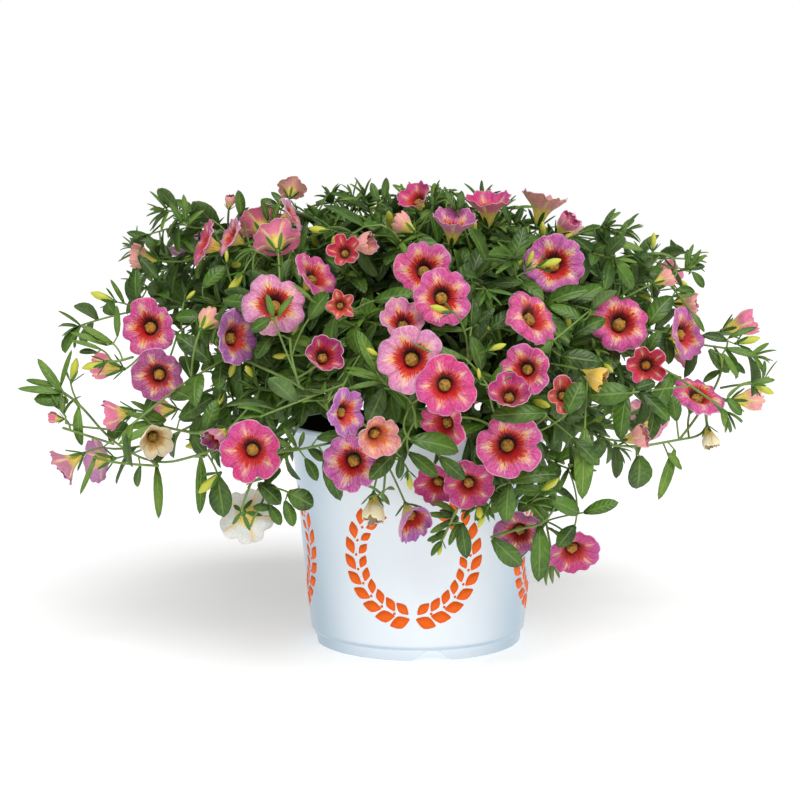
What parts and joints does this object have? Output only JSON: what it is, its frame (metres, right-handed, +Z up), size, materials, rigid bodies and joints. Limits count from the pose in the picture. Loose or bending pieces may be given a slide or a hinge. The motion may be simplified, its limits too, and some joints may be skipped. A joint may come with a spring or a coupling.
{
  "type": "potted calibrachoa",
  "caption": "Trailing bedding plant with small five-lobed trumpet blooms, fine leafy shoots and soil, growing over the rim of a round tapered plastic nursery pot.",
  "frame": {"origin": "on the pot's axis at the underside of its foot, which is also the bottom centre of the whole plant's bounding box", "axes": "+Z up along the pot's axis, -Y to the front, +X to the viewer's right along the plant's longest spread"},
  "size_m": [0.5129, 0.4166, 0.3109],
  "materials": {
    "pot": "smooth white glossy plastic, black inside",
    "soil": "loose dark potting mix of peat and bark",
    "foliage": "soft slightly sticky green leaves and stems",
    "petals": "thin velvety petals, pink to magenta and lilac with a yellow star"
  },
  "bodies": {
    "root": {"pot": "pot", "soil": "soil", "leafy_branch_front": "foliage", "leafy_branch_front_right": "foliage", "leafy_branch_right": "foliage", "leafy_branch_back_right": "foliage", "leafy_branch_back": "foliage", "leafy_branch_back_left": "foliage", "leafy_branch_left": "foliage", "leafy_branch_front_left": "foliage", "bloom_01": "petals", "bloom_02": "petals", "bloom_03": "petals", "bloom_04": "petals", "bloom_05": "petals", "bloom_06": "petals", "bloom_07": "petals", "bloom_08": "petals", "bloom_09": "petals", "bloom_10": "petals", "bloom_11": "petals", "bloom_12": "petals", "bloom_13": "petals", "bloom_14": "petals", "bloom_15": "petals", "bloom_16": "petals", "bloom_17": "petals", "bloom_18": "petals", "bloom_19": "petals", "bloom_20": "petals", "bloom_21": "petals", "bloom_22": "petals", "bloom_23": "petals", "bloom_24": "petals", "bloom_25": "petals", "bloom_26": "petals", "bloom_27": "petals", "bloom_28": "petals", "bloom_29": "petals", "bloom_30": "petals", "bloom_31": "petals", "bloom_32": "petals", "bloom_33": "petals", "bloom_34": "petals", "bloom_35": "petals", "bloom_36": "petals", "bloom_37": "petals", "bloom_38": "petals", "bloom_39": "petals", "bloom_40": "petals", "bloom_41": "petals", "bloom_42": "petals", "bloom_43": "petals", "bloom_44": "petals", "bloom_45": "petals", "bloom_46": "petals", "bloom_47": "petals", "bloom_48": "petals", "bloom_49": "petals", "bloom_50": "petals"}
  },
  "joints": []
}
